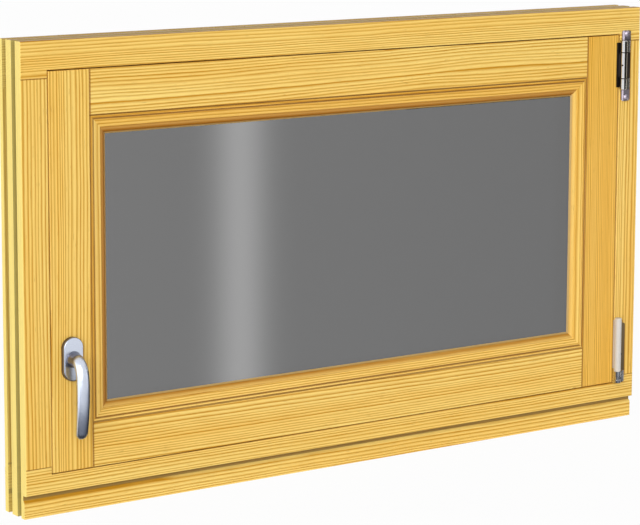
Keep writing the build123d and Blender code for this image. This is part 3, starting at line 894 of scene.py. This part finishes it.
@dataclass(frozen=True)
class Screw:
    """A screw's head: a low dome with a lobed recess."""

    radius: float
    rise: float
    recess: float
    recess_depth: float
    lobes: int = 6
    # The recess's swell and the dome's fall at its rim, as shares of the recess's radius and of the rise.
    lobe_swell: float = 0.14
    dome_fall: float = 0.7
    # How far the head sits in the plate.
    sunk: float = 0.0004

    def grid(self, place: Triple, columns: int = 48) -> np.ndarray:
        """Points of the head, which looks into the room.

        The dome is a flat cap: its height falls off from the rise with the square of the radius. The
        recess goes straight down, and its radius swells once for each lobe, as a cosine.

        Args:
            place: the middle of the head's seat.
            columns: points round the head.

        Returns:
            The grid, from the back's middle to the recess's floor.
        """
        angle = np.linspace(0, 2 * math.pi, columns, endpoint=False)
        share = np.linspace(1.0, self.recess / self.radius, 8)
        radius = np.concatenate([[0.5 * self.radius, self.radius], share * self.radius, [self.recess] * 2])
        dome = self.rise * (1 - self.dome_fall * share ** 2)
        floor = dome[-1] - self.recess_depth
        height = np.concatenate([[-self.sunk, -self.sunk], dome, [floor, floor]])
        lobes = np.ones((len(radius), columns))
        lobes[-3:] += self.lobe_swell * np.cos(self.lobes * angle)
        radius[-1] *= 0.5
        x = place[0] + radius[:, None] * lobes * np.cos(angle)
        z = place[2] + radius[:, None] * lobes * np.sin(angle)
        y = np.broadcast_to(place[1] - height[:, None], x.shape)
        return np.stack([x, y, z], axis=-1)


@dataclass(frozen=True)
class Hinges:
    """The stay hinge at the top and the corner hinge at the bottom, on one axis."""

    plate_front: float = -0.031
    stay_screws: tuple[Pair, ...] = ((0.4734, 0.4720), (0.4734, 0.5630))
    head: Screw = Screw(radius=0.0050, rise=0.0036, recess=0.0012, recess_depth=0.0008)
    axis: Pair = (0.4646, -0.0345)
    # Washers between the stay hinge's knuckles, a hair wider than its barrel, dark so that they draw the
    # gaps' shade as lines.
    washers: tuple[float, ...] = (0.4999, 0.5371)
    washer_radius: float = 0.0053
    washer_thickness: float = 0.0012
    # Set screws that hold the pins, as small dark balls sunk in the barrels: their middles.
    set_screws: tuple[Triple, ...] = ((0.4605, -0.0372, 0.5190), (0.4745, -0.0310, 0.0960))
    set_screw_radius: float = 0.0013
    # The leaf on the sash beside the stay hinge's barrel, whose black also stands in for the shade there:
    # two opposite corners.
    leaf: tuple[Triple, Triple] = ((0.4570, -0.0292, 0.4870), (0.4638, -0.0280, 0.5510))
    leaf_edge: float = 0.0004
    # The power that squares the leaf's oval.
    leaf_power: float = 0.25

    def washer_grid(self, height: float) -> np.ndarray:
        """Points of one washer: a flat drum with its edges drawn in a little.

        Args:
            height: the height of its middle.

        Returns:
            The grid.
        """
        half = self.washer_thickness / 2
        radii = self.washer_radius - np.array([0.0006, 0.0001, 0.0, 0.0, 0.0001, 0.0006])
        return turned(self.axis, radii, height + half * np.array([-1.0, -1.0, -0.7, 0.7, 1.0, 1.0]))

    def ball_grid(self, centre: Triple) -> np.ndarray:
        """Points of a set screw's ball: circles whose radius and height are a half circle's.

        Args:
            centre: the ball's middle.

        Returns:
            The grid.
        """
        turn = np.linspace(0, math.pi, 13)[1:-1]
        radii = self.set_screw_radius * np.sin(turn)
        return turned(centre[:2], radii, centre[2] - self.set_screw_radius * np.cos(turn), columns=24)

    def leaf_grid(self, columns: int = 48) -> np.ndarray:
        """Points of the leaf: a squared oval carried up between its ends, drawn in by a quarter round.

        The squared oval is a circle whose sine and cosine are raised to a small power.

        Args:
            columns: points round the section.

        Returns:
            The grid, from the lower end to the upper.
        """
        low, high = np.array(self.leaf)
        middle, half = (low + high) / 2, (high - low) / 2
        angle = np.linspace(0, 2 * math.pi, columns, endpoint=False)
        waves = (np.cos(angle), np.sin(angle))
        squared = [np.sign(wave) * np.abs(wave) ** self.leaf_power for wave in waves]
        turn = np.linspace(0, math.pi / 2, 5)
        inset = self.leaf_edge * (1 - np.sin(turn))
        rise = self.leaf_edge * (1 - np.cos(turn))
        inset = np.concatenate([inset, inset[::-1]])[:, None]
        z = np.concatenate([low[2] + rise, high[2] - rise[::-1]])
        x = middle[0] + (half[0] - inset) * squared[0]
        y = middle[1] + (half[1] - inset) * squared[1]
        return np.stack([x, y, np.broadcast_to(z[:, None], x.shape)], axis=-1)

    def finish(self, nodes: Nodes) -> None:
        """Dress both hinges, put in their screws and washers and lay the leaf on the sash.

        Args:
            nodes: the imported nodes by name.
        """
        # Zinc die casting under silver lacquer: soft lilac grey, with painted shade on the plate between
        # the knuckles, where the arm's recess shades it.
        recess = tuple(PaintedLightOrStain("Z", 0.5190, 0.0370, way, "#3C3628", 0.9, fade=0.08) for way in "XY")
        zinc = Metal("silver_zinc_casting", "#ACA4AE", "#958D99", 0.36, 0.48, light_shade_and_stains=recess).build()
        # Chrome-plated zinc, near a mirror.
        chrome = Metal("chrome_plate", "#E0E0E0", "#D2D2D2", 0.07, 0.13).build()
        # Moulded nylon sleeve in silver grey: pale and soft, with no mirror image, and with painted shade
        # along its left edge.
        shade = (PaintedLightOrStain("X", 0.4560, 0.0036, "Y", "#5E4A32", 0.90, fade=0.3),)
        silver = Rubber("silver_grey_nylon", "#D9D3CE", "#CBC8C0", 0.38, 0.38, light_shade_and_stains=shade).build()
        # Bronze-lacquered steel, dark and warm.
        bronze = Metal("bronze_lacquered_steel", "#8E7A5E", "#7C694C", 0.36, 0.48).build()
        # Blackened steel, matt and nearly black. On the leaf and the washers its darkness also stands in
        # for the shade beside the barrel and in the gaps between the knuckles.
        black = Metal("blackened_steel", "#3A3430", "#2C2826", 0.45, 0.55).build()
        dress(nodes, ["stay_hinge_plate"], zinc)
        stay = [f"stay_hinge_{part}" for part in ("lower_knuckle", "upper_knuckle", "arm", "pin")]
        dress(nodes, stay + ["corner_hinge_socket", "corner_hinge_pin"], chrome)
        dress(nodes, ["corner_hinge_band"], silver)
        dress(nodes, ["corner_hinge_plate"], bronze)
        settle(skin("stay_leaf", self.leaf_grid()), black, Body.WINDOW)
        for number, (x, z) in enumerate(self.stay_screws, start=1):
            screw = skin(f"stay_screw_{number}", self.head.grid((x, self.plate_front, z)))
            settle(screw, zinc, Body.WINDOW)
        for number, height in enumerate(self.washers, start=1):
            washer = skin(f"stay_washer_{number}", self.washer_grid(height))
            settle(washer, black, Body.WINDOW)
        for number, centre in enumerate(self.set_screws, start=1):
            screw = skin(f"hinge_set_screw_{number}", self.ball_grid(centre))
            settle(screw, black, Body.WINDOW)


@dataclass(frozen=True)
class RainRail:
    """The drawn metal rail and its end caps on the open-air side."""

    # Cells to the metre: the draw's lines are 83 mm long and 0.7 mm wide.
    drawn_lines: Triple = (12.0, 1400.0, 1400.0)

    def finish(self, nodes: Nodes) -> None:
        """Dress the rail and its caps.

        Args:
            nodes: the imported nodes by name.
        """
        # Bronze anodised aluminium, with fine lines along the draw.
        rail = Metal("bronze_anodised_aluminium", "#8A6E4A", "#7A6040", 0.34, 0.44, self.drawn_lines)
        dress(nodes, ["rain_rail"], rail.build())
        # Moulded nylon, brown, lightly textured.
        cap = Rubber("brown_nylon", "#5E452B", "#6C5134", 0.45, 0.45).build()
        dress(nodes, ["rain_rail_cap_left", "rain_rail_cap_right"], cap)


# The studio

@dataclass(frozen=True)
class Flag:
    """A sheet beside the set, which shows only in metal and glass, as a dark or bright shape."""

    name: str
    corners: tuple[Triple, ...]
    colour: str
    glow: float = 1.0


def standing(start: Pair, end: Pair, bottom: float, top: float) -> tuple[Triple, ...]:
    """Corners of an upright sheet over a line on the floor."""
    return (*start, bottom), (*end, bottom), (*end, top), (*start, top)


def lying(
    left: float, right: float, front: float, back: float, height: float = 0.002,
) -> tuple[Triple, ...]:
    """Corners of a level sheet just over the floor."""
    return (left, front, height), (right, front, height), (right, back, height), (left, back, height)


@dataclass(frozen=True)
class Lamp:
    """A very broad soft lamp far away: the way it lies in, its strength and how wide it looks."""

    name: str
    towards: Triple
    strength: float
    spread: float = math.radians(60)


@dataclass(frozen=True)
class Studio:
    """Camera, pale floor, soft light and the strip light that the glass mirrors."""

    # The camera's place and turn come from a fit on the corners and edges of the photographed window.
    image_width: int = 640
    sensor: float = 36.0
    focal_pixels: float = 2557.27
    place: Triple = (-1.95578, -2.78558, 0.88608)
    yaw: float = 0.60309
    pitch: float = 0.14803
    roll: float = 0.00306
    shift_up: float = -0.12
    ambient: float = 0.36
    floor_half: float = 30.0
    floor_paint: str = "#F4F4F4"
    floor_glow: float = 0.96
    # The strip light: its sheet, its bell's middle, width and peak, and the ground's two levels and the
    # two X between which it goes from one to the other.
    strip_corners: tuple[Triple, ...] = standing((-0.13, -0.45), (1.0, -0.45), 0.001, 0.415)
    strip_middle: float = 0.099
    strip_spread: float = 0.047
    strip_peak: float = 0.95
    strip_ground: Pair = (0.98, 0.83)
    strip_fade: Pair = (-0.13, 0.75)
    lamps: tuple[Lamp, ...] = (
        Lamp("key", (-0.62, -0.76, 0.18), 0.95),
        Lamp("back", (-0.80, 0.60, 0.05), 0.30),
    )
    flags: tuple[Flag, ...] = (
        Flag("glow_left", standing((-0.60, -0.20), (-0.60, -0.03), 0.085, 0.32), "#F2F7FF", 1.6),
        Flag("flag_grip", standing((-0.412, -0.036), (-0.412, -0.066), 0.10, 0.19), "#2C3038"),
        Flag("flag_stay", standing((0.40, -0.44), (1.5, -0.44), 0.416, 0.70), "#2A2820"),
        Flag("flag_web", standing((0.60, -0.031), (0.60, -0.12), 0.42, 0.62), "#3A3626"),
        Flag("flag_leaf", standing((0.440, -0.0284), (0.457, -0.0284), 0.484, 0.554), "#1C1A16"),
        Flag("flag_floor_far", lying(-0.8, 0.9, -0.44, -0.32), "#AEB2BA"),
        Flag("flag_floor_middle", lying(-0.8, 0.9, -0.32, -0.20), "#7C7F88"),
        Flag("flag_floor_near", lying(-0.8, 0.9, -0.20, -0.03), "#45464A"),
    )

    def camera(self) -> None:
        """Place the camera: turned from +Y towards +X by yaw, tipped down by pitch."""
        forward = Vector((
            math.sin(self.yaw) * math.cos(self.pitch),
            math.cos(self.yaw) * math.cos(self.pitch),
            -math.sin(self.pitch),
        ))
        level = Vector((math.cos(self.yaw), -math.sin(self.yaw), 0.0))
        upright = level.cross(forward)
        right = math.cos(self.roll) * level + math.sin(self.roll) * upright
        up = -math.sin(self.roll) * level + math.cos(self.roll) * upright
        data = bpy.data.cameras.new("camera")
        data.sensor_width = self.sensor
        data.sensor_fit = "HORIZONTAL"
        data.lens = self.focal_pixels * self.sensor / self.image_width
        data.shift_y = self.shift_up
        camera = bpy.data.objects.new("camera", data)
        turn = Matrix((right, up, -forward)).transposed().to_4x4()
        camera.matrix_world = Matrix.Translation(self.place) @ turn
        bpy.context.scene.collection.objects.link(camera)
        bpy.context.scene.camera = camera

    def seen(self, tree: NodeTree) -> NodeSocket:
        """One for a ray that shows the background: from the camera, a mirror or through glass.

        Args:
            tree: the tree of the world or the floor.

        Returns:
            One or nought.
        """
        path = add(tree, "ShaderNodeLightPath", output="Is Camera Ray").node.outputs
        mirrored = add(tree, "ShaderNodeMath", {
            0: path["Is Camera Ray"], 1: path["Is Glossy Ray"],
        }, operation="MAXIMUM")
        return add(tree, "ShaderNodeMath", {
            0: mirrored, 1: path["Is Transmission Ray"],
        }, operation="MAXIMUM")

    def world(self) -> None:
        """Light the room evenly, and show plain white behind it."""
        world = bpy.data.worlds.new("studio")
        bpy.context.scene.world = world
        world.use_nodes = True
        tree = world.node_tree
        tree.nodes.clear()
        strength = add(tree, "ShaderNodeMapRange", {
            "Value": self.seen(tree), **ranges(target=(self.ambient, 1.0)),
        })
        light = add(tree, "ShaderNodeBackground", {"Color": linear(WHITE), "Strength": strength})
        add(tree, "ShaderNodeOutputWorld", {"Surface": light})

    def hang(self, lamp: Lamp) -> None:
        """Hang one lamp.

        Args:
            lamp: the lamp.
        """
        data = bpy.data.lights.new(lamp.name, "SUN")
        data.energy = lamp.strength * math.pi
        data.angle = lamp.spread
        hung = bpy.data.objects.new(lamp.name, data)
        hung.rotation_euler = Vector(lamp.towards).to_track_quat("Z", "Y").to_euler()
        bpy.context.scene.collection.objects.link(hung)

    def floor(self) -> None:
        """Lay the pale floor, white to the eye but for the soft shadow on it."""
        material, tree = new_material("pale_floor")
        paint = add(tree, "ShaderNodeBsdfDiffuse", {"Color": linear(self.floor_paint)})
        glow = add(tree, "ShaderNodeEmission", {"Color": linear(WHITE), "Strength": 1.0})
        share = add(tree, "ShaderNodeMath", {
            0: self.seen(tree), 1: self.floor_glow,
        }, operation="MULTIPLY")
        mixed = add(tree, "ShaderNodeMixShader", {0: share, 1: paint, 2: glow})
        add(tree, "ShaderNodeOutputMaterial", {"Surface": mixed})
        half = self.floor_half
        self.sheet("floor", lying(-half, half, -half, half, height=0.0), material)

    def strip(self) -> None:
        """Stand a strip light at the right, which only mirror-like surfaces show.

        Its glow falls off sideways as a bell curve round its middle, over a ground that fades evenly
        from left to right.
        """
        material, tree = new_material("strip_light")
        where = add(tree, "ShaderNodeTexCoord", output="Object")
        place = add(tree, "ShaderNodeSeparateXYZ", {0: where}, output="X")
        away = add(tree, "ShaderNodeMath", {0: place, 1: self.strip_middle}, operation="SUBTRACT")
        scaled = add(tree, "ShaderNodeMath", {0: away, 1: self.strip_spread}, operation="DIVIDE")
        squared = add(tree, "ShaderNodeMath", {0: scaled, 1: scaled}, operation="MULTIPLY")
        fall = add(tree, "ShaderNodeMath", {0: squared, 1: -1.0}, operation="MULTIPLY")
        bell = add(tree, "ShaderNodeMath", {0: fall}, operation="EXPONENT")
        ground = add(tree, "ShaderNodeMapRange", {
            "Value": place, **ranges(self.strip_fade, self.strip_ground),
        })
        glow = add(tree, "ShaderNodeMath", {
            0: bell, 1: self.strip_peak, 2: ground,
        }, operation="MULTIPLY_ADD")
        light = add(tree, "ShaderNodeEmission", {"Color": linear(WHITE), "Strength": glow})
        add(tree, "ShaderNodeOutputMaterial", {"Surface": light})
        self.show_in_gloss_only(self.sheet("strip", self.strip_corners, material))

    def set_flag(self, flag: Flag) -> None:
        """Put one sheet beside the set.

        Args:
            flag: the sheet.
        """
        material, tree = new_material(flag.name)
        light = add(tree, "ShaderNodeEmission", {"Color": linear(flag.colour), "Strength": flag.glow})
        add(tree, "ShaderNodeOutputMaterial", {"Surface": light})
        self.show_in_gloss_only(self.sheet(flag.name, flag.corners, material))

    def show_in_gloss_only(self, sheet: Object) -> None:
        """Let only reflections show a sheet.

        Args:
            sheet: the sheet.
        """
        sheet.visible_camera = False
        sheet.visible_diffuse = False
        sheet.visible_shadow = False
        sheet.visible_transmission = False

    def sheet(self, name: str, corners: tuple[Triple, ...], material: Material) -> Object:
        """Make a flat sheet that isn't part of the object.

        Args:
            name: its name.
            corners: its corners in order.
            material: its finish.

        Returns:
            The sheet.
        """
        mesh = bpy.data.meshes.new(name)
        mesh.from_pydata(corners, [], [tuple(range(len(corners)))])
        mesh.materials.append(material)
        sheet = bpy.data.objects.new(name, mesh)
        bpy.context.scene.collection.objects.link(sheet)
        return sheet

    def build(self) -> None:
        """Set up the whole studio."""
        bpy.context.scene.view_settings.view_transform = "Standard"
        self.camera()
        self.world()
        self.floor()
        self.strip()
        for lamp in self.lamps:
            self.hang(lamp)
        for flag in self.flags:
            self.set_flag(flag)
        LOG.info("studio is set")


def main() -> None:
    """Build the studio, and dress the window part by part."""
    logging.basicConfig(level=logging.INFO, format="%(name)s: %(message)s")
    nodes = frame["nodes"]
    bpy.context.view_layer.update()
    Studio().build()
    for part in (Timber(), GlassUnit(), Handle(), Hinges(), RainRail()):
        part.finish(nodes)


if __name__ == "__main__":
    main()
